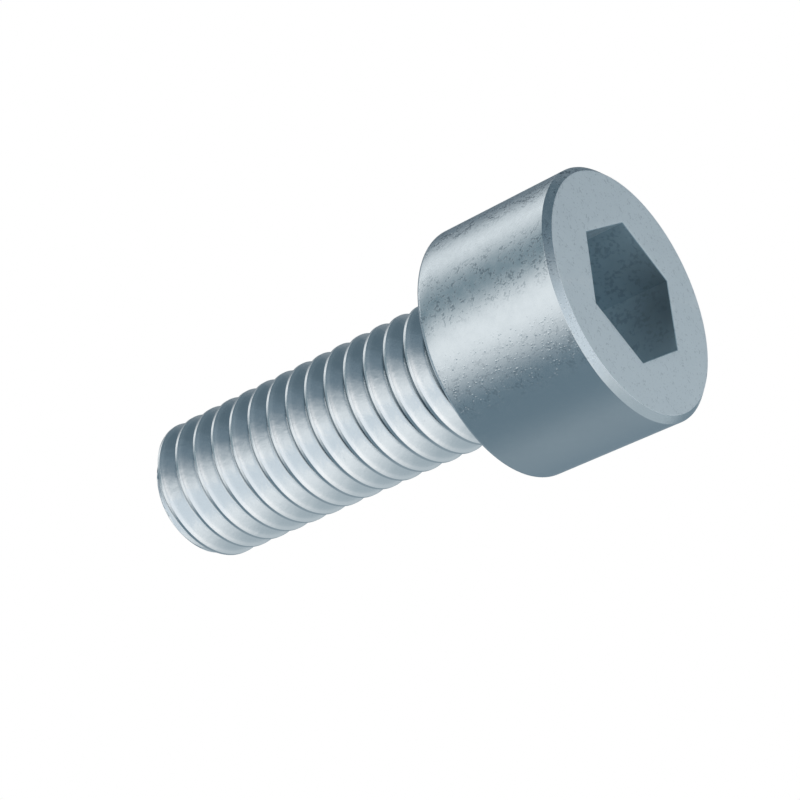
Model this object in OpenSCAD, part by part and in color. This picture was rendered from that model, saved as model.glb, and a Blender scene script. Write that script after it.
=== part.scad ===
// Socket head cap screw with a full metric thread, standing on its head.
// The origin is the centre of the head's socket face, and +Z runs along the axis to the tip.
// All sizes are in millimetres.

/* [Head] */
// Diameter of the cylindrical head
head_d = 10; // [9:0.1:12]
// Height of the head, from the socket face to the bearing face
head_h = 6; // [5.6:0.1:8]
// Width of the 45 degree edge break round the socket face
face_chamfer = 0.25; // [0.1:0.05:0.6]
// Radius on the lower rim of the head, beside the bearing face
rim_r = 0.2; // [0.1:0.05:0.4]

/* [Hex socket] */
// Width across the flats of the key that the socket takes
key_af = 5; // [3:0.5:6]
// Play that the socket gives the key, across the flats
key_play = 0.06; // [0.02:0.01:0.14]
// Depth of the socket's straight walls
socket_depth = 3.3; // [2:0.1:3.8]
// Depth of the shallow cone that the punch leaves in the socket's floor
socket_cone_depth = 0.4; // [0.1:0.05:0.8]
// Width of the flat ledge left between the cone and the flats
socket_ledge = 0.2; // [0.1:0.05:0.6]

/* [Shank] */
// Length of the screw below its head
shank_len = 16; // [10:1:30]
// Length of the plain neck between the bearing face and the thread
neck_len = 0.5; // [0.4:0.1:2]
// Radius of the fillet where the neck meets the head
neck_fillet_r = 0.35; // [0.35:0.05:0.4]

/* [Thread] */
// Nominal diameter of the thread
thread_d = 6; // [5:0.1:7]
// How far the thread's real diameters lie under the nominal ones, so that a nut runs on it
thread_play = 0.12; // [0.02:0.01:0.15]
// Distance between one crest and the next
thread_pitch = 1; // [0.7:0.05:1.2]
// Turns over which the thread rises from the neck to its full depth
runout_turns = 0.6; // [0.5:0.1:2]
// Direction in which the crest leaves the neck, in degrees from the first corner of the socket
thread_start = 28; // [0:1:359]
// How far the rim of the tip's end face lies inside the thread's root
tip_inset = 0.02; // [0:0.02:0.4]
// Angle between the axis and the chamfer on the tip, in degrees
tip_chamfer_angle = 45; // [30:1:60]

/* [Resolution] */
// Flat steps in one turn of the thread
steps_per_turn = 36; // [24:2:44]
// Straight steps in each rounded corner of the turned profile
arc_steps = 6; // [3:1:10]

/* [Hidden] */

// Height of the sharp 60 degree triangle that the thread's form comes from
thread_sharp_h = thread_pitch * sqrt(3) / 2;
// A crest is cut flat at an eighth of that height, and a root is rounded down to its sixth
crest_flat = thread_pitch / 8;
crest_r = (thread_d - thread_play) / 2;
root_r = crest_r - thread_sharp_h * 17 / 24;
pitch_r = crest_r - thread_sharp_h * 3 / 8;
// The root's rounding is drawn as two chords that start on the flanks
root_round_w = thread_pitch / 4;
root_round_r = crest_r - thread_sharp_h * 5 / 8;

// The plain neck has the diameter of the wire that the thread is rolled on
neck_r = pitch_r;
neck_end = head_h + neck_len;
// The thread starts a little inside the neck, so that only flat surfaces cross there
seat_gap = 0.06;
seat_r = neck_r - seat_gap;

tip_z = head_h + shank_len;
tip_end_r = root_r - tip_inset;

// Turns of thread from inside the neck until past the tip
first_z = neck_end - thread_pitch * 1.1;
turn_count = ceil((tip_z - first_z) / thread_pitch) + 1;

// One pitch of the thread's outline, as distance along the axis and radius, from root to root
ridge = [
    [0, root_r],
    [root_round_w / 2, root_round_r],
    [(thread_pitch - crest_flat) / 2, crest_r],
    [(thread_pitch + crest_flat) / 2, crest_r],
    [thread_pitch - root_round_w / 2, root_round_r]
];
ridge_rows = len(ridge);
row_count = ridge_rows * turn_count;

// Points on an arc about a centre, both ends included
function arc(centre, r, from, to) = [
    for (i = [0 : arc_steps])
        let (a = from + (to - from) * i / arc_steps)
        centre + r * [cos(a), sin(a)]
];

// Share of the full depth that the thread has reached at a height
function runout(z) = min(1, max(0, (z - neck_end) / (runout_turns * thread_pitch)));

// Point of the thread's surface on a row of the outline, at a step round the axis
function thread_point(row, step) =
    let (
        turn = floor(row / ridge_rows),
        spot = ridge[row % ridge_rows],
        z = first_z + thread_pitch * (turn + step / steps_per_turn) + spot[0],
        r = seat_r + (spot[1] - seat_r) * runout(z),
        a = 360 * step / steps_per_turn
    )
    [r * cos(a), r * sin(a), z];

// Rod with a helical thread, right-handed, open at neither end: each end is a ramp one pitch high
module threaded_rod() {
    ring = steps_per_turn;
    points = [
        for (row = [0 : row_count], step = [0 : ring - 1])
            thread_point(row, step),
        [0, 0, first_z],
        [0, 0, first_z + thread_pitch * turn_count]
    ];
    low = len(points) - 2;
    high = len(points) - 1;
    // A row that has gone once round meets the row one pitch further on
    function at(row, step) = step < ring ? row * ring + step : (row + ridge_rows) * ring;
    last = row_count - ridge_rows;
    low_rim = concat(
        [for (step = [0 : ring]) at(0, step)],
        [for (row = [ridge_rows - 1 : -1 : 1]) at(row, 0)]
    );
    high_rim = concat(
        [for (step = [0 : ring]) at(last, step)],
        [for (row = [row_count - 1 : -1 : last + 1]) at(row, 0)]
    );
    skin = [
        for (row = [0 : last - 1], step = [0 : ring - 1])
            each [
                [at(row, step), at(row + 1, step), at(row + 1, step + 1)],
                [at(row, step), at(row + 1, step + 1), at(row, step + 1)]
            ]
    ];
    low_cap = [
        for (i = [0 : len(low_rim) - 1])
            [low, low_rim[i], low_rim[(i + 1) % len(low_rim)]]
    ];
    high_cap = [
        for (i = [0 : len(high_rim) - 1])
            [high, high_rim[(i + 1) % len(high_rim)], high_rim[i]]
    ];
    polyhedron(points = points, faces = concat(skin, low_cap, high_cap), convexity = 10);
}

// Everything past the tip: the end face and the chamfer that opens the first thread
module tip_cut() {
    reach = thread_pitch * 3;
    flare = reach * tan(90 - tip_chamfer_angle);
    rotate_extrude($fn = 96)
        polygon([
            [0, tip_z],
            [tip_end_r, tip_z],
            [tip_end_r + reach, tip_z - flare],
            [tip_end_r + reach, tip_z + reach],
            [0, tip_z + reach]
        ]);
}

// Forged head and plain neck, turned as one outline
module head_blank() {
    head_r = head_d / 2;
    face_r = head_r - face_chamfer;
    rotate_extrude($fn = 96)
        polygon(concat(
            [
                [0, 0],
                [face_r, 0],
                [head_r, face_chamfer]
            ],
            arc([head_r - rim_r, head_h - rim_r], rim_r, 0, 90),
            arc([neck_r + neck_fillet_r, head_h + neck_fillet_r], neck_fillet_r, 270, 180),
            [
                [neck_r, neck_end],
                [0, neck_end]
            ]
        ));
}

// Punched hexagon with a shallow cone in its floor
module hex_socket() {
    overlap = 0.5;
    socket_af = key_af + key_play;
    cone_r = socket_af / 2 - socket_ledge;
    translate([0, 0, -overlap])
        cylinder(h = socket_depth + overlap, d = socket_af / cos(30), $fn = 6);
    translate([0, 0, socket_depth - overlap])
        cylinder(h = overlap, r = cone_r, $fn = 96);
    translate([0, 0, socket_depth])
        cylinder(h = socket_cone_depth, r1 = cone_r, r2 = 0, $fn = 96);
}

module cap_screw() {
    color("lightsteelblue")
        difference() {
            union() {
                head_blank();
                difference() {
                    rotate([0, 0, thread_start])
                        threaded_rod();
                    tip_cut();
                }
            }
            hex_socket();
        }
}

cap_screw();
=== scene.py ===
import math
import bmesh
import bpy
from mathutils import Matrix, Vector


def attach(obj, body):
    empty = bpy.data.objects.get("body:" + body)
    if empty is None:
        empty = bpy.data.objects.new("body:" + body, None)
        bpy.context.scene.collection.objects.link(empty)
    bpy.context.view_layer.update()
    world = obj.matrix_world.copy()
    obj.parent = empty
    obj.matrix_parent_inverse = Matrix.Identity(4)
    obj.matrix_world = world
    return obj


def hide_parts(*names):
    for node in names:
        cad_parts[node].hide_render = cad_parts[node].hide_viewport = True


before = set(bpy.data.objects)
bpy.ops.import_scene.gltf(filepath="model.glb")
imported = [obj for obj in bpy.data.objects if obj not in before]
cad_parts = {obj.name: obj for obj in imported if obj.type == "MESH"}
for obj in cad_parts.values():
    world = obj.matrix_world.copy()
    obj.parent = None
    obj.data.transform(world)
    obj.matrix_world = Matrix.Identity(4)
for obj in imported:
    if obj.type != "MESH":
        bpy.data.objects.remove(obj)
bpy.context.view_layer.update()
mm = 0.001


# Small maths used by the mesh and by the studio

def smoothStep(value):
    value = min(1.0, max(0.0, value))
    return value * value * (3 - 2 * value)


def softMin(a, b, blend):
    # The lower of two values, with the corner between them rounded off
    overlap = max(blend - abs(a - b), 0.0) / blend
    return min(a, b) - overlap * overlap * blend / 4


def direction(azimuth, elevation):
    az = math.radians(azimuth)
    el = math.radians(elevation)
    return Vector((math.cos(el) * math.cos(az), math.cos(el) * math.sin(az), math.sin(el)))


# Small helpers for node trees

def addNode(tree, kind, **settings):
    node = tree.nodes.new(kind)
    for name, value in settings.items():
        setattr(node, name, value)
    return node


def feed(tree, socket, source):
    # A socket takes either another node's output or a plain value
    if isinstance(source, bpy.types.NodeSocket):
        tree.links.new(source, socket)
    else:
        socket.default_value = source


def mathNode(tree, operation, a, b=0.0, clamp=False):
    node = addNode(tree, "ShaderNodeMath", operation=operation, use_clamp=clamp)
    feed(tree, node.inputs[0], a)
    feed(tree, node.inputs[1], b)
    return node.outputs[0]


def noiseNode(tree, position, scale, detail, rough):
    node = addNode(tree, "ShaderNodeTexNoise")
    feed(tree, node.inputs["Vector"], position)
    feed(tree, node.inputs["Scale"], scale)
    node.inputs["Detail"].default_value = detail
    node.inputs["Roughness"].default_value = rough
    return node.outputs[0]


def rangeNode(tree, value, fromMin, fromMax, toMin=0.0, toMax=1.0):
    node = addNode(tree, "ShaderNodeMapRange", interpolation_type="SMOOTHSTEP")
    for name, source in (("Value", value), ("From Min", fromMin), ("From Max", fromMax),
                         ("To Min", toMin), ("To Max", toMax)):
        feed(tree, node.inputs[name], source)
    return node.outputs["Result"]


def meshValue(tree, name):
    return addNode(tree, "ShaderNodeAttribute", attribute_name=name).outputs["Fac"]


def mixColour(tree, factor, a, b):
    node = addNode(tree, "ShaderNodeMix", data_type="RGBA")
    feed(tree, node.inputs["Factor"], factor)
    feed(tree, node.inputs["A"], a)
    feed(tree, node.inputs["B"], b)
    return node.outputs["Result"]


def newGroup(name, inputs, outputs):
    group = bpy.data.node_groups.new(name, "ShaderNodeTree")
    for label, kind, value in inputs:
        socket = group.interface.new_socket(name=label, in_out="INPUT", socket_type=kind)
        socket.default_value = value
    for label, kind in outputs:
        group.interface.new_socket(name=label, in_out="OUTPUT", socket_type=kind)
    return group, addNode(group, "NodeGroupInput").outputs, addNode(group, "NodeGroupOutput").inputs


def useGroup(tree, group, settings):
    node = addNode(tree, "ShaderNodeGroup", node_tree=group)
    for name, source in settings.items():
        feed(tree, node.inputs[name], source)
    return node.outputs


number = "NodeSocketFloat"
colour = "NodeSocketColor"


# Zinc plating: cloudy tone, blotchy gloss, fine grain, small pimples and dark specks, in millimetres

pattern = {
    "clusterScale": 0.3,  # of the noise that gathers the specks, as a share of the specks' own
    "clusterPull": 0.8,  # how much more easily a speck shows where that noise is high
    "clusterFade": (0.35, 0.65),  # range of the same noise over which pimples come in
    "speckFade": 0.2,  # from the level where a speck starts to its full colour
    "pimpleEdge": 0.42,  # distance from the middle of a cell at which its pimple starts
    "pimpleTop": 0.06,  # and at which it is full
    "cloudStart": 0.4,  # noise value above which the clouds darken the plating
}


def makePlatingGroup():
    group, given, result = newGroup(
        "zincPlating",
        [("Plate Colour", colour, (0.7, 0.76, 0.8, 1)), ("Speck Colour", colour, (0.2, 0.26, 0.3, 1)),
         ("Cloud Size", number, 2.0), ("Cloud Amount", number, 0.1), ("Wave Height", number, 0.0),
         ("Grain Size", number, 0.1), ("Grain Height", number, 0.3),
         ("Dot Size", number, 0.3), ("Dot Share", number, 0.3), ("Dot Height", number, 1.0),
         ("Speck Size", number, 0.1), ("Speck Level", number, 0.66), ("Speck Amount", number, 0.5),
         ("Speck Cover", number, 1.0), ("Speck Depth", number, 0.3), ("Grit Cover", number, 1.0),
         ("Blotch Size", number, 0.3), ("Roughness", number, 0.3), ("Roughness Spread", number, 0.1)],
        [("Colour", colour), ("Roughness", number), ("Height", number)])
    scaled = addNode(group, "ShaderNodeVectorMath", operation="SCALE")
    feed(group, scaled.inputs[0], addNode(group, "ShaderNodeTexCoord").outputs["Object"])
    scaled.inputs["Scale"].default_value = 1 / mm
    position = scaled.outputs[0]

    def sized(label):
        return mathNode(group, "DIVIDE", 1.0, given[label])

    def times(value, label):
        return mathNode(group, "MULTIPLY", value, given[label])

    cloud = noiseNode(group, position, sized("Cloud Size"), 4, 0.55)
    grain = noiseNode(group, position, sized("Grain Size"), 3, 0.6)
    blotch = noiseNode(group, position, sized("Blotch Size"), 3, 0.6)
    # Dark specks that gather in clusters
    clusterScale = mathNode(group, "MULTIPLY", sized("Speck Size"), pattern["clusterScale"])
    cluster = noiseNode(group, position, clusterScale, 2, 0.5)
    gather = mathNode(group, "SUBTRACT", cluster, 0.5)
    gather = mathNode(group, "MULTIPLY", gather, pattern["clusterPull"])
    fine = noiseNode(group, position, sized("Speck Size"), 2, 0.5)
    full = mathNode(group, "ADD", given["Speck Level"], pattern["speckFade"])
    specks = rangeNode(group, mathNode(group, "ADD", fine, gather), given["Speck Level"], full)
    specks = times(specks, "Speck Cover")
    # Round pimples in a share of the cells of a random pattern, in loose groups
    cells = addNode(group, "ShaderNodeTexVoronoi")
    feed(group, cells.inputs["Vector"], position)
    feed(group, cells.inputs["Scale"], sized("Dot Size"))
    cellColour = addNode(group, "ShaderNodeSeparateColor")
    feed(group, cellColour.inputs[0], cells.outputs["Color"])
    picked = mathNode(group, "LESS_THAN", cellColour.outputs[0], given["Dot Share"])
    dots = rangeNode(group, cells.outputs["Distance"], pattern["pimpleEdge"], pattern["pimpleTop"])
    dots = mathNode(group, "MULTIPLY", dots, picked)
    dots = mathNode(group, "MULTIPLY", dots, rangeNode(group, cluster, *pattern["clusterFade"]))
    shade = mathNode(group, "SUBTRACT", cloud, pattern["cloudStart"], clamp=True)
    shade = times(shade, "Cloud Amount")
    dark = mathNode(group, "ADD", shade, times(specks, "Speck Amount"), clamp=True)
    feed(group, result["Colour"], mixColour(group, dark, given["Plate Colour"], given["Speck Colour"]))
    spread = times(mathNode(group, "SUBTRACT", blotch, 0.5), "Roughness Spread")
    feed(group, result["Roughness"], mathNode(group, "ADD", given["Roughness"], spread, clamp=True))
    grit = mathNode(group, "ADD", times(grain, "Grain Height"), times(dots, "Dot Height"))
    relief = mathNode(group, "ADD", times(grit, "Grit Cover"), times(cloud, "Wave Height"))
    feed(group, result["Height"], mathNode(group, "SUBTRACT", relief, times(specks, "Speck Depth")))
    return group


# Edges that keys, nuts and other screws rub bright, and a painted highlight that the mesh gives

wearPatch = (0.35, 0.65)  # range of the noise over which an edge goes from plated to worn


def makeWearAndHighlightGroup():
    group, given, result = newGroup(
        "edgeWearAndHighlight",
        [("Colour", colour, (0.7, 0.76, 0.8, 1)), ("Worn And Highlight Colour", colour, (0.9, 0.93, 0.95, 1)),
         ("Amount", number, 0.5), ("Start", number, 0.52), ("End", number, 0.6),
         ("Patch Size", number, 0.5), ("Painted Highlight", number, 0.0)],
        [("Colour", colour)])
    pointiness = addNode(group, "ShaderNodeNewGeometry").outputs["Pointiness"]
    place = addNode(group, "ShaderNodeTexCoord").outputs["Object"]
    patchScale = mathNode(group, "DIVIDE", 1 / mm, given["Patch Size"])
    patches = rangeNode(group, noiseNode(group, place, patchScale, 3, 0.6), *wearPatch)
    edges = rangeNode(group, pointiness, given["Start"], given["End"])
    # The brighter of the worn edges and the painted highlight that the mesh gives
    wornAndHighlit = mathNode(group, "MAXIMUM", mathNode(group, "MULTIPLY", edges, patches), given["Painted Highlight"])
    bright = mathNode(group, "MULTIPLY", wornAndHighlit, given["Amount"])
    feed(group, result["Colour"], mixColour(group, bright, given["Colour"], given["Worn And Highlight Colour"]))
    return group


# Painted shade in the thread's roots and in the socket, and a painted shadow under the head

def makePaintedShadeGroup():
    group, given, result = newGroup(
        "paintedShade",
        [("Colour", colour, (0.7, 0.76, 0.8, 1)), ("Painted Shade Colour", colour, (0.1, 0.13, 0.16, 1)),
         ("Amount", number, 0.5), ("Depth", number, 0.0)],
        [("Colour", colour)])
    shaded = mathNode(group, "MULTIPLY", given["Depth"], given["Amount"])
    feed(group, result["Colour"], mixColour(group, shaded, given["Colour"], given["Painted Shade Colour"]))
    return group


plating = makePlatingGroup()
wearAndHighlight = makeWearAndHighlightGroup()
paintedShade = makePaintedShadeGroup()


def zincMaterial(finish):
    material = bpy.data.materials.new(finish["name"])
    material.use_nodes = True
    tree = material.node_tree
    shader = tree.nodes["Principled BSDF"]
    shader.inputs["Metallic"].default_value = finish["metallic"]
    shader.inputs["Specular Tint"].default_value = finish["edgeTint"]
    covers = {}
    if finish["tarnished"]:
        # The mesh says where the tarnish lies
        covers = {"Speck Cover": meshValue(tree, "tarnish"), "Grit Cover": meshValue(tree, "grit")}
    plated = useGroup(tree, plating, {**finish["plating"], **covers})
    # Edge wear with the painted highlight from the mesh, then the painted shade and shadow from the
    # mesh
    paintedHighlight = {"Colour": plated["Colour"], "Painted Highlight": meshValue(tree, "paintedHighlight")}
    wornAndHighlit = useGroup(tree, wearAndHighlight, {**finish["wearAndHighlight"], **paintedHighlight})
    roots = {"Colour": wornAndHighlit["Colour"], "Depth": meshValue(tree, "paintedShade")}
    shaded = useGroup(tree, paintedShade, {**finish["paintedShade"], **roots})
    feed(tree, shader.inputs["Base Color"], shaded["Colour"])
    feed(tree, shader.inputs["Roughness"], plated["Roughness"])
    bump = addNode(tree, "ShaderNodeBump")
    bump.inputs["Distance"].default_value = finish["relief"] * mm
    feed(tree, bump.inputs["Height"], plated["Height"])
    feed(tree, shader.inputs["Normal"], bump.outputs["Normal"])
    return material


sideFinish = {
    "name": "zincHeadSide",
    "metallic": 1.0,
    "edgeTint": (0.72, 0.78, 0.82, 1),
    "tarnished": True,
    "plating": {
        "Plate Colour": (0.70, 0.765, 0.80, 1), "Speck Colour": (0.12, 0.17, 0.21, 1),
        "Cloud Size": 2.4, "Cloud Amount": 0.12, "Wave Height": 2.0,
        "Grain Size": 0.1, "Grain Height": 0.22,
        "Dot Size": 0.1, "Dot Share": 0.5, "Dot Height": 1.1,
        "Speck Size": 0.085, "Speck Level": 0.52, "Speck Amount": 0.5, "Speck Depth": 0.25,
        "Blotch Size": 0.3, "Roughness": 0.2, "Roughness Spread": 0.25},
    "wearAndHighlight": {
        "Start": 0.51, "End": 0.57, "Patch Size": 0.22,
        "Amount": 0.5, "Worn And Highlight Colour": (0.93, 0.955, 0.97, 1)},
    # Painted shadow under the head, where the fillet meets the neck
    "paintedShade": {"Amount": 0.6, "Painted Shade Colour": (0.12, 0.17, 0.21, 1)},
    "relief": 0.008,
}
faceFinish = {
    "name": "zincHeadFace",
    "metallic": 1.0,
    "edgeTint": (1, 1, 1, 1),
    "tarnished": False,
    "plating": {
        "Plate Colour": (0.735, 0.805, 0.845, 1), "Speck Colour": (0.24, 0.30, 0.35, 1),
        "Cloud Size": 1.8, "Cloud Amount": 0.15, "Wave Height": 0.5,
        "Grain Size": 0.09, "Grain Height": 0.5,
        "Dot Size": 0.3, "Dot Share": 0.2, "Dot Height": 0.5,
        "Speck Size": 0.08, "Speck Level": 0.57, "Speck Amount": 0.3,
        "Blotch Size": 0.5, "Roughness": 0.5, "Roughness Spread": 0.2},
    "wearAndHighlight": {
        "Start": 0.52, "End": 0.58, "Patch Size": 0.5,
        "Amount": 0.25, "Worn And Highlight Colour": (0.84, 0.88, 0.90, 1)},
    "paintedShade": {"Amount": 0.0},
    "relief": 0.006,
}
threadFinish = {
    "name": "zincThread",
    "metallic": 1.0,
    "edgeTint": (1, 1, 1, 1),
    "tarnished": False,
    "plating": {
        "Plate Colour": (0.72, 0.78, 0.815, 1), "Speck Colour": (0.30, 0.36, 0.41, 1),
        "Cloud Size": 0.7, "Cloud Amount": 0.1, "Wave Height": 3.4,
        "Grain Size": 0.12, "Grain Height": 0.15,
        "Dot Size": 0.3, "Dot Share": 0.08, "Dot Height": 0.5,
        "Speck Size": 0.1, "Speck Level": 0.72, "Speck Amount": 0.3,
        "Blotch Size": 0.4, "Roughness": 0.17, "Roughness Spread": 0.2},
    # Worn crest edges, and a painted highlight on the flank that faces the head
    "wearAndHighlight": {
        "Start": 0.6, "End": 0.7, "Patch Size": 0.6,
        "Amount": 0.9, "Worn And Highlight Colour": (0.95, 0.975, 0.99, 1)},
    # Painted shade in the thread's roots and painted shadow under the head
    "paintedShade": {"Amount": 0.9, "Painted Shade Colour": (0.11, 0.155, 0.185, 1)},
    "relief": 0.005,
}
# The socket's plate colour and edge tint are dark as painted shade of the recess, with a darker painted
# shade near the mouth and one corner
socketFinish = {
    "name": "zincSocket",
    "metallic": 0.3,
    "edgeTint": (0.12, 0.17, 0.2, 1),
    "tarnished": False,
    "plating": {
        "Plate Colour": (0.29, 0.415, 0.49, 1), "Speck Colour": (0.10, 0.15, 0.19, 1),
        "Cloud Size": 1.2, "Cloud Amount": 0.4, "Wave Height": 2.0,
        "Grain Size": 0.14, "Grain Height": 0.5,
        "Dot Size": 0.3, "Dot Share": 0.3, "Dot Height": 0.5,
        "Speck Size": 0.16, "Speck Level": 0.5, "Speck Amount": 0.35,
        "Blotch Size": 0.4, "Roughness": 0.6, "Roughness Spread": 0.3},
    "wearAndHighlight": {
        "Start": 0.53, "End": 0.6, "Patch Size": 0.5,
        "Amount": 0.15, "Worn And Highlight Colour": (0.45, 0.52, 0.57, 1)},
    "paintedShade": {"Amount": 0.88, "Painted Shade Colour": (0.05, 0.08, 0.1, 1)},
    "relief": 0.01,
}
finishes = [sideFinish, faceFinish, threadFinish, socketFinish]
materials = [zincMaterial(finish) for finish in finishes]
sideSlot, faceSlot, threadSlot, socketSlot = range(len(finishes))
print("materials ready:", ", ".join(m.name for m in materials))


# The screw, in millimetres while it is built

columns = 144  # steps round the axis, shared by head and thread, and a multiple of six

head = {
    "radius": 5.0,
    "height": 6.0,
    "chamfer": 0.25,
    "chamferSoft": 0.035,  # rounding where the chamfer meets the face and the side
    "rimRadius": 0.2,
    "filletRadius": 0.35,  # under the head
    "neckRadius": 2.6152,
    "arcSteps": 8,  # steps in each rounded corner of the outline
    "sideHeights": (0.6, 1.5, 2.5, 3.5, 4.5, 5.4),
    "faceRings": (0.12, 0.3, 0.5, 0.7, 0.9),  # steps from the socket's mouth out to the face's rim
    "faceRim": 0.2,  # width of the round border where the last of them ends
    # Centre and half width in degrees, then strength
    "tarnish": [(109, 10, 0.55), (149, 12, 1.0), (200, 21, 1.9), (278, 22, 1.0), (340, 14, 1.0)],
    "grit": [(110, 15, 1.0), (197, 20, 1.6), (278, 25, 1.0), (340, 20, 1.0)],
    "patchFade": 12,
}

socket = {
    "acrossFlats": 5.06,
    "depth": 3.3,
    "coneDepth": 0.4,
    "ledge": 0.2,
    "mouthSoft": 0.025,
    "shadeDepth": 3.3,  # how far the painted shade reaches in from the mouth
    "shadeCorner": 318,  # azimuth of the corner that holds most of it
    "shadeWidth": 76,
    "shadeElsewhere": 0.2,
    "mouthSteps": 5,
    "wallHeights": (0.3, 1.0, 1.8, 2.6, 3.3),
    "coneRings": (0.75, 0.5, 0.25, 0.08),  # as shares of the cone's radius
}

thread = {
    "pitch": 1.0,
    "crestRadius": 2.94,
    "crestSoft": 0.02,  # rounding of both corners of the crest
    "crestSteps": 4,
    "flankRings": (0.15, 0.3, 0.45, 0.6, 0.75, 0.88),  # as shares of the flank's width
    "rootSteps": 4,
    "highlightDepth": (0.12, 0.34),  # share of the thread's depth over which the painted highlight ends
    "highlightCrest": 0.25,  # how strong the painted highlight is on the crest, beside the flank that faces the head
    "crestHeight": 6.822,  # where a crest crosses the +X side
    "neckEnd": 6.5,
    "runout": 0.6,
    "joint": 6.4,  # height at which the thread's mesh takes over from the head's
    "tip": 22.0,
    "tipRadius": 2.3066,
    "tipSoft": 0.025,
    "tipRings": (1, 0.99, 0.8, 0.5, 0.2),  # as shares of the flat end's radius
    "chamferBlend": 0.03,
    "shadeDepth": (0.94, 0.99),  # share of the thread's depth at which the painted shade in the roots starts and is full
    "shadowTop": (6.95, 7.45),  # height over which the painted shadow under the head runs out
}


def ringPoints(radius, height):
    # radius is one number for a circle, or a function of the angle
    points = []
    for column in range(columns):
        angle = 2 * math.pi * column / columns
        r = radius(angle) if callable(radius) else radius
        points.append((r * math.cos(angle), r * math.sin(angle), height))
    return points


def addRing(bm, radius, height):
    return [bm.verts.new(point) for point in ringPoints(radius, height)]


def apart(angle, azimuth):
    return abs((math.degrees(angle) - azimuth + 180) % 360 - 180)


def patchAt(angle, patches):
    most = 0.0
    for centre, halfWidth, strength in patches:
        share = smoothStep((halfWidth - apart(angle, centre)) / head["patchFade"] + 0.5)
        most = max(most, share * strength)
    return most


def stitch(bm, low, high, slot):
    for column in range(columns):
        after = (column + 1) % columns
        face = bm.faces.new((low[column], low[after], high[after], high[column]))
        face.material_index = slot


def closeRing(bm, ring, height, slot):
    centre = bm.verts.new((0, 0, height))
    for column in range(columns):
        face = bm.faces.new((ring[column], ring[(column + 1) % columns], centre))
        face.material_index = slot


def roundedPath(corners, steps):
    # Corner points with a radius each become a path with an arc at every rounded corner
    path = []
    for index, (r, z, radius) in enumerate(corners):
        corner = Vector((r, z))
        if radius == 0 or index in (0, len(corners) - 1):
            path.append((r, z))
            continue
        before = (Vector(corners[index - 1][:2]) - corner).normalized()
        after = (Vector(corners[index + 1][:2]) - corner).normalized()
        half = before.angle(after) / 2
        centre = corner + (before + after).normalized() * (radius / math.sin(half))
        start = corner + before * (radius / math.tan(half)) - centre
        end = corner + after * (radius / math.tan(half)) - centre
        turn = start.angle_signed(end)
        for step in range(steps + 1):
            # Vector.angle_signed counts clockwise turns as positive
            swing = Matrix.Rotation(-turn * step / steps, 2)
            point = centre + swing @ start
            path.append((point.x, point.y))
    return path


def hexagon(acrossFlats, blend=0.0, circle=0.0):
    # Hexagon with a corner on +X, drawn towards a circle by blend
    def radius(angle):
        side = math.radians(60)
        flat = acrossFlats / 2 / math.cos(angle % side - side / 2)
        return flat * (1 - blend) + circle * blend
    return radius


def buildHead(bm):
    flats = socket["acrossFlats"]
    soft = socket["mouthSoft"]
    faceEdge = head["radius"] - head["chamfer"]
    neck = head["neckRadius"]
    outline = roundedPath([
        (faceEdge - head["faceRim"], 0, 0),
        (faceEdge, 0, head["chamferSoft"]),
        (head["radius"], head["chamfer"], head["chamferSoft"]),
        (head["radius"], head["height"], head["rimRadius"]),
        (neck, head["height"], head["filletRadius"]),
        (neck, thread["joint"], 0)], head["arcSteps"])
    # The side's own rings go in where the outline runs straight up it
    rings = []
    for r, z in outline:
        if rings and rings[-1][1] < head["sideHeights"][0] < z:
            rings += [(head["radius"], height) for height in head["sideHeights"]]
        rings.append((r, z))
    # The face runs from the mouth of the socket to the chamfer
    rows = []
    for step in range(socket["mouthSteps"] + 1):
        angle = math.radians(90 * step / socket["mouthSteps"])
        out = soft * (1 - math.sin(angle))
        rows.append((addRing(bm, hexagon(flats + 2 * out), soft * (1 - math.cos(angle))), socketSlot))
    rows.reverse()
    for blend in head["faceRings"]:
        ringRadius = hexagon(flats + 2 * soft, blend, outline[0][0])
        rows.append((addRing(bm, ringRadius, 0), faceSlot))
    layers = bm.verts.layers.float
    for r, z in rings:
        # The nearly flat start of the chamfer's rounding still belongs to the face
        slot = faceSlot if z < head["chamferSoft"] / 4 else sideSlot
        ring = addRing(bm, r, z)
        for column, vert in enumerate(ring):
            angle = 2 * math.pi * column / columns
            for name in ("tarnish", "grit"):
                vert[layers[name]] = patchAt(angle, head[name])
        rows.append((ring, slot))
    for (low, slotLow), (high, slotHigh) in zip(rows, rows[1:]):
        stitch(bm, low, high, slotHigh)
    # Walls, ledge and cone of the socket
    inner = flats / 2 - socket["ledge"]
    depth = socket["depth"]
    well = [addRing(bm, hexagon(flats), height) for height in socket["wallHeights"]]
    well.append(addRing(bm, inner, depth))
    for share in socket["coneRings"]:
        well.append(addRing(bm, inner * share, depth + socket["coneDepth"] * (1 - share)))
    # Painted shade in the socket: full at the mouth by one corner, less round the rest, none at the
    # bottom
    least = socket["shadeElsewhere"]
    for ring in [rows[0][0]] + well:
        for column, vert in enumerate(ring):
            away = apart(2 * math.pi * column / columns, socket["shadeCorner"])
            share = 1 - (1 - least) * smoothStep(away / socket["shadeWidth"])
            vert[layers["paintedShade"]] = share * (1 - smoothStep(vert.co.z / socket["shadeDepth"]))
    for low, high in zip([rows[0][0]] + well, well):
        stitch(bm, low, high, socketSlot)
    closeRing(bm, well[-1], depth + socket["coneDepth"], socketSlot)
    return rows[-1][0]


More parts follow.
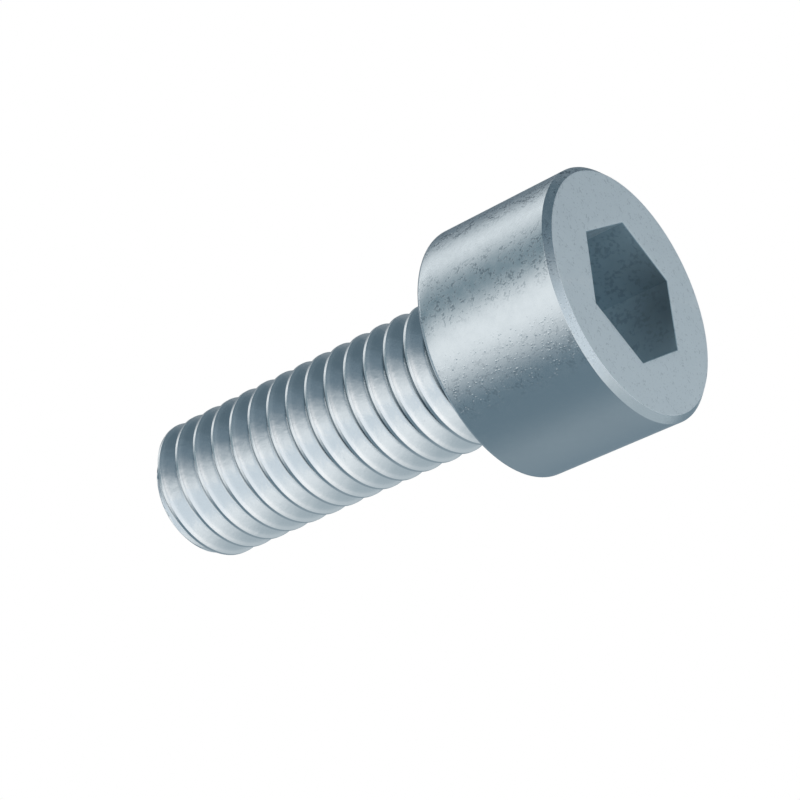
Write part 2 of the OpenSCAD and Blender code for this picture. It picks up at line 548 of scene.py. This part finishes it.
def threadOutline():
    # One pitch of the thread as (distance from the crest, radius, painted highlight), from root to
    # root.
    # It is the metric form: flanks at 60 degrees to each other, a flat crest an eighth of the
    # pitch wide, and a rounded root 17/24 of the sharp triangle's height below the crest.
    pitch = thread["pitch"]
    sharp = pitch * math.sqrt(3) / 2
    crestHalf = pitch / 16
    soft = thread["crestSoft"]
    crest = thread["crestRadius"]
    rootRound = sharp / 6
    rootCentre = crest - sharp * 17 / 24 + rootRound
    steep = 60  # between a flank and the axis
    straight = crestHalf - soft * math.tan(math.radians(steep / 2))
    half = [(0, crest), (straight, crest)]
    for step in range(1, thread["crestSteps"] + 1):
        turn = math.radians(steep * step / thread["crestSteps"])
        half.append((straight + soft * math.sin(turn), crest - soft * (1 - math.cos(turn))))
    flankStart, flankTop = half[-1]
    flankEnd = pitch / 2 - pitch / 8
    for share in thread["flankRings"]:
        along = (flankEnd - flankStart) * share
        half.append((flankStart + along, flankTop - along * math.tan(math.radians(steep))))
    for step in range(thread["rootSteps"] + 1):
        turn = math.radians(steep * (1 - step / thread["rootSteps"]))
        half.append((pitch / 2 - rootRound * math.sin(turn), rootCentre - rootRound * math.cos(turn)))
    # A painted highlight near the crest on the flank that faces the head, weaker on the crest and the
    # other flank, fading out deeper in
    start, end = thread["highlightDepth"]
    deepest = half[-1][1]
    outline = []
    for distance, r in [(-distance, r) for distance, r in reversed(half[1:-1])] + half:
        depth = (crest - r) / (crest - deepest)
        share = 1 - smoothStep((depth - start) / (end - start))
        outline.append((distance, r, share if distance < -crestHalf else share * thread["highlightCrest"]))
    return outline


def buildShank(bm, neckRing):
    pitch = thread["pitch"]
    outline = threadOutline()
    perTurn = len(outline)
    low = thread["joint"]
    high = thread["tip"] - thread["tipSoft"]
    spareTurns = 3  # below the joint and past the tip, where both cut the rows off
    turns = math.ceil((thread["tip"] - low) / pitch) + spareTurns
    base = thread["crestHeight"] - pitch
    rows = [(base + pitch * turn + distance, r, paintedHighlight)
            for turn in range(turns) for distance, r, paintedHighlight in outline]

    crest = thread["crestRadius"]
    deepest = min(point[1] for point in outline)
    layers = bm.verts.layers.float

    def threadVert(r, z, angle, paintedHighlight):
        # The thread grows out of the neck, and the cone on the tip cuts it off
        grown = min(1, max(0, (z - thread["neckEnd"]) / thread["runout"]))
        r = head["neckRadius"] + (r - head["neckRadius"]) * grown
        cone = thread["tipRadius"] + thread["tip"] - z
        radius = softMin(r, cone, thread["chamferBlend"])
        vert = bm.verts.new((radius * math.cos(angle), radius * math.sin(angle), z))
        # Painted shade in the roots, and a painted shadow under the head
        depth = (crest - radius) / (crest - deepest)
        start, full = thread["shadeDepth"]
        rooted = smoothStep((depth - start) / (full - start)) if r < cone else 0
        start, end = thread["shadowTop"]
        hidden = 1 - smoothStep((z - start) / (end - start))
        vert[layers["paintedShade"]] = max(hidden, rooted)
        # Painted highlight near the crest of the flank that faces the head
        vert[layers["paintedHighlight"]] = paintedHighlight * grown if r < cone else 0
        return vert

    tipRing = addRing(bm, thread["tipRadius"] + thread["tipSoft"], high)
    grid = []
    for column in range(columns):
        rise = pitch * column / columns
        angle = 2 * math.pi * column / columns
        line = []
        for start, r, paintedHighlight in rows:
            z = start + rise
            if z <= low:
                line.append(neckRing[column])
            elif z >= high:
                line.append(tipRing[column])
            else:
                line.append(threadVert(r, z, angle, paintedHighlight))
        grid.append(line)
    # After a full turn a row carries on in the row one pitch higher
    grid.append(grid[0][perTurn:] + [tipRing[0]] * perTurn)
    for column in range(columns):
        here = grid[column]
        after = grid[column + 1]
        for row in range(len(rows) - 1):
            corners = []
            for vert in (here[row], after[row], after[row + 1], here[row + 1]):
                if vert not in corners:
                    corners.append(vert)
            if len(corners) > 2:
                bm.faces.new(corners).material_index = threadSlot
    # The flat end, with its rim softened
    soft = thread["tipSoft"]
    radius = thread["tipRadius"]
    middle = soft * 0.3  # of the softened rim
    rings = [tipRing, addRing(bm, radius + middle, thread["tip"] - middle)]
    for share in thread["tipRings"]:
        rings.append(addRing(bm, (radius - soft) * share, thread["tip"]))
    for lower, upper in zip(rings, rings[1:]):
        stitch(bm, lower, upper, threadSlot)
    closeRing(bm, rings[-1], thread["tip"], threadSlot)


def buildScrew():
    bm = bmesh.new()
    for name in ("tarnish", "grit", "paintedShade", "paintedHighlight"):
        bm.verts.layers.float.new(name)
    neckRing = buildHead(bm)
    # Painted shadow under the head, on the ring where the neck joins the thread
    for vert in neckRing:
        vert[bm.verts.layers.float["paintedShade"]] = 1
    buildShank(bm, neckRing)
    bmesh.ops.recalc_face_normals(bm, faces=bm.faces)
    sharpAngle = math.radians(28)  # steeper edges are shaded as edges
    for face in bm.faces:
        face.smooth = True
    for edge in bm.edges:
        edge.smooth = edge.calc_face_angle(0) < sharpAngle
    bmesh.ops.scale(bm, vec=(mm, mm, mm), verts=bm.verts)
    mesh = bpy.data.meshes.new("capScrew")
    bm.to_mesh(mesh)
    openEdges = sum(1 for edge in bm.edges if len(edge.link_faces) != 2)
    print("screw:", len(mesh.polygons), "faces,", openEdges, "open edges")
    bm.free()
    piece = bpy.data.objects.new("capScrew", mesh)
    bpy.context.scene.collection.objects.link(piece)
    for material in materials:
        mesh.materials.append(material)
    return piece


screw = buildScrew()
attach(screw, "root")
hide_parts("cap_screw")
screw.visible_glossy = False  # the plating mirrors the studio only, as in the photo
print("screw built")


# The camera, aimed at a point on the screw's axis

cameraView = {
    "azimuth": 116.52,
    "elevation": -33.08,
    "distance": 88.19,
    "aim": (-0.009, -0.004, 11.0),
    "roll": -115.04,
    "lens": 102.94,
    "sensor": 36,
    "nearest": 1,
    "farthest": 5000,
}


def makeCamera():
    data = bpy.data.cameras.new("camera")
    data.lens = cameraView["lens"]
    data.sensor_width = cameraView["sensor"]
    data.clip_start = cameraView["nearest"] * mm
    data.clip_end = cameraView["farthest"] * mm
    back = direction(cameraView["azimuth"], cameraView["elevation"])
    right = (-back).cross(Vector((0, 0, 1))).normalized()
    up = right.cross(-back)
    roll = math.radians(cameraView["roll"])
    top = up * math.cos(roll) - right * math.sin(roll)
    side = (-back).cross(top)
    place = (Vector(cameraView["aim"]) + back * cameraView["distance"]) * mm
    turned = Matrix((side, top, back)).transposed().to_4x4()
    camera = bpy.data.objects.new("camera", data)
    camera.matrix_world = Matrix.Translation(place) @ turned
    bpy.context.scene.collection.objects.link(camera)
    bpy.context.scene.camera = camera


makeCamera()
print("camera placed")


# Studio: a white room, dark flags that the metal mirrors, a pale floor and one soft lamp

studio = {
    "roomLight": 0.75,  # what the room gives to surfaces that aren't glossy
    "floorColour": (0.93, 0.93, 0.93, 1),
    "floorRadius": 400,
    "floorSteps": 64,
    "floorFade": (250, 392),  # distances from the screw over which the floor fades into the room
    "floorGap": 0.04,
    "lampPower": 0.45,
    "lampSize": 260,
    "lampDistance": 420,
    "lampAzimuth": 160,
    "lampElevation": 62,
    "flagDistance": 300,
    "flagSpacing": 3,  # between one flag and the next, so that none lies in another
    "flagHeight": 8,  # of the point that all of them surround
    "flagSteps": (48, 46),  # faces of one flag in azimuth and elevation
}

# Azimuths are counted from the camera's own, all in degrees. soft is how far the flag fades at its
# start and end in azimuth, then at its foot and top. lean is how far it shifts back for each degree
# above the middle value of leanSpan, and it stops at the other two.
leanSpan = (27, 30.5, 39)
flags = [
    {"name": "flagLeftNear", "azimuth": (-99, 21), "elevation": (-16, 76), "soft": (46, 49, 14, 14),
     "lean": 0.3, "tone": (0.17, 0.235, 0.28)},
    {"name": "flagLeftFar", "azimuth": (-184, -40), "elevation": (-16, 76), "soft": (24, 24, 14, 14),
     "lean": 0, "tone": (0.28, 0.34, 0.38)},
    {"name": "flagMiddle", "azimuth": (29, 109), "elevation": (-8, 76), "soft": (35, 45, 14, 14),
     "lean": 1.2, "tone": (0.20, 0.275, 0.315)},
    {"name": "flagRight", "azimuth": (101, 186), "elevation": (-20, 76), "soft": (47, 14, 14, 14),
     "lean": 1.2, "tone": (0.23, 0.27, 0.30)},
    {"name": "flagRightFoot", "azimuth": (58, 178), "elevation": (-46, 14), "soft": (14, 14, 12, 12),
     "lean": 0, "tone": (0.12, 0.17, 0.205)},
    {"name": "flagLowRight", "azimuth": (-6, 180), "elevation": (-82, -10), "soft": (95, 28, 33, 28),
     "lean": 0, "tone": (0.18, 0.24, 0.285)},
    {"name": "flagLowLeft", "azimuth": (-216, -45), "elevation": (-74, 8), "soft": (34, 34, 40, 14),
     "lean": 0, "tone": (0.46, 0.517, 0.55)},
    {"name": "flagLowFront", "azimuth": (-80, 60), "elevation": (-100, -38), "soft": (24, 14, 14, 14),
     "lean": 0, "tone": (0.77, 0.82, 0.865)},
    {"name": "flagTop", "azimuth": (-215, 215), "elevation": (50, 130), "soft": (14, 14, 14, 14),
     "lean": 0, "tone": (0.38, 0.45, 0.50)},
]


def makeRoom():
    world = bpy.data.worlds.new("room")
    bpy.context.scene.world = world
    world.use_nodes = True
    world.cycles.sampling_method = "NONE"
    tree = world.node_tree
    tree.nodes.clear()
    path = addNode(tree, "ShaderNodeLightPath").outputs
    seen = mathNode(tree, "MAXIMUM", path["Is Camera Ray"], path["Is Glossy Ray"])
    seen = mathNode(tree, "MAXIMUM", seen, path["Is Transmission Ray"])
    dim = addNode(tree, "ShaderNodeBackground")
    dim.inputs["Color"].default_value = (1, 1, 1, 1)
    dim.inputs["Strength"].default_value = studio["roomLight"]
    white = addNode(tree, "ShaderNodeBackground")
    white.inputs["Color"].default_value = (1, 1, 1, 1)
    white.inputs["Strength"].default_value = 1.0
    mix = addNode(tree, "ShaderNodeMixShader")
    feed(tree, mix.inputs[0], seen)
    feed(tree, mix.inputs[1], dim.outputs[0])
    feed(tree, mix.inputs[2], white.outputs[0])
    feed(tree, addNode(tree, "ShaderNodeOutputWorld").inputs["Surface"], mix.outputs[0])


def flagMaterial(flag):
    material = bpy.data.materials.new(flag["name"])
    material.use_nodes = True
    material.cycles.emission_sampling = "NONE"
    tree = material.node_tree
    tree.nodes.clear()
    glow = addNode(tree, "ShaderNodeEmission")
    glow.inputs["Color"].default_value = (*flag["tone"], 1)
    clear = addNode(tree, "ShaderNodeBsdfTransparent")
    mix = addNode(tree, "ShaderNodeMixShader")
    feed(tree, mix.inputs[0], meshValue(tree, "cover"))
    feed(tree, mix.inputs[1], clear.outputs[0])
    feed(tree, mix.inputs[2], glow.outputs[0])
    feed(tree, addNode(tree, "ShaderNodeOutputMaterial").inputs["Surface"], mix.outputs[0])
    return material


def makeFlag(flag, place):
    # A patch of a sphere round the screw whose borders fade out
    wide, tall = studio["flagSteps"]
    azimuths, elevations = flag["azimuth"], flag["elevation"]
    start, end, foot, top = flag["soft"]
    distance = (studio["flagDistance"] + studio["flagSpacing"] * place) * mm
    points, cover = [], []
    for row in range(tall + 1):
        el = elevations[0] + (elevations[1] - elevations[0]) * row / tall
        for step in range(wide + 1):
            az = azimuths[0] + (azimuths[1] - azimuths[0]) * step / wide
            shift = flag["lean"] * (min(max(el, leanSpan[0]), leanSpan[2]) - leanSpan[1])
            points.append(direction(az - shift + cameraView["azimuth"], el) * distance)
            across = min((az - azimuths[0]) / start, (azimuths[1] - az) / end)
            along = min((el - elevations[0]) / foot, (elevations[1] - el) / top)
            cover.append(smoothStep(across) * smoothStep(along))
    faces = []
    for row in range(tall):
        for step in range(wide):
            first = row * (wide + 1) + step
            faces.append((first, first + 1, first + wide + 2, first + wide + 1))
    mesh = bpy.data.meshes.new(flag["name"])
    mesh.from_pydata(points, [], faces)
    mesh.attributes.new("cover", "FLOAT", "POINT").data.foreach_set("value", cover)
    mesh.materials.append(flagMaterial(flag))
    piece = bpy.data.objects.new(flag["name"], mesh)
    piece.location = (0, 0, studio["flagHeight"] * mm)
    bpy.context.scene.collection.objects.link(piece)
    piece.visible_camera = False
    piece.visible_diffuse = False
    piece.visible_shadow = False
    piece.visible_transmission = False


def makeFloor():
    mesh = bpy.data.meshes.new("floor")
    bm = bmesh.new()
    bmesh.ops.create_circle(bm, cap_ends=True, segments=studio["floorSteps"],
                            radius=studio["floorRadius"] * mm)
    bm.to_mesh(mesh)
    bm.free()
    floor = bpy.data.objects.new("floor", mesh)
    floor.location = (0, 0, -studio["floorGap"] * mm)
    bpy.context.scene.collection.objects.link(floor)
    material = bpy.data.materials.new("paleFloor")
    material.use_nodes = True
    tree = material.node_tree
    tree.nodes.clear()
    paint = addNode(tree, "ShaderNodeBsdfDiffuse")
    paint.inputs["Color"].default_value = studio["floorColour"]
    clear = addNode(tree, "ShaderNodeBsdfTransparent")
    place = addNode(tree, "ShaderNodeTexCoord").outputs["Object"]
    length = addNode(tree, "ShaderNodeVectorMath", operation="LENGTH")
    feed(tree, length.inputs[0], place)
    fadeStart, fadeEnd = studio["floorFade"]
    near = rangeNode(tree, length.outputs["Value"], fadeStart * mm, fadeEnd * mm, 1.0, 0.0)
    # From below, where the photo's camera is, the floor is clear glass
    seen = addNode(tree, "ShaderNodeLightPath").outputs["Is Camera Ray"]
    back = addNode(tree, "ShaderNodeNewGeometry").outputs["Backfacing"]
    front = mathNode(tree, "SUBTRACT", seen, back, clamp=True)
    mix = addNode(tree, "ShaderNodeMixShader")
    feed(tree, mix.inputs[0], mathNode(tree, "MULTIPLY", front, near))
    feed(tree, mix.inputs[1], clear.outputs[0])
    feed(tree, mix.inputs[2], paint.outputs[0])
    feed(tree, addNode(tree, "ShaderNodeOutputMaterial").inputs["Surface"], mix.outputs[0])
    mesh.materials.append(material)


def makeLamp():
    data = bpy.data.lights.new("lamp", "AREA")
    data.shape = "DISK"
    data.size = studio["lampSize"] * mm
    data.energy = studio["lampPower"]
    lamp = bpy.data.objects.new("lamp", data)
    away = direction(studio["lampAzimuth"], studio["lampElevation"])
    lamp.location = away * studio["lampDistance"] * mm
    lamp.rotation_euler = away.to_track_quat("Z", "Y").to_euler()
    lamp.visible_glossy = False
    bpy.context.scene.collection.objects.link(lamp)


makeRoom()
for place, flag in enumerate(flags):
    makeFlag(flag, place)
makeFloor()
makeLamp()
bpy.context.scene.view_settings.view_transform = "Standard"
print("studio ready")
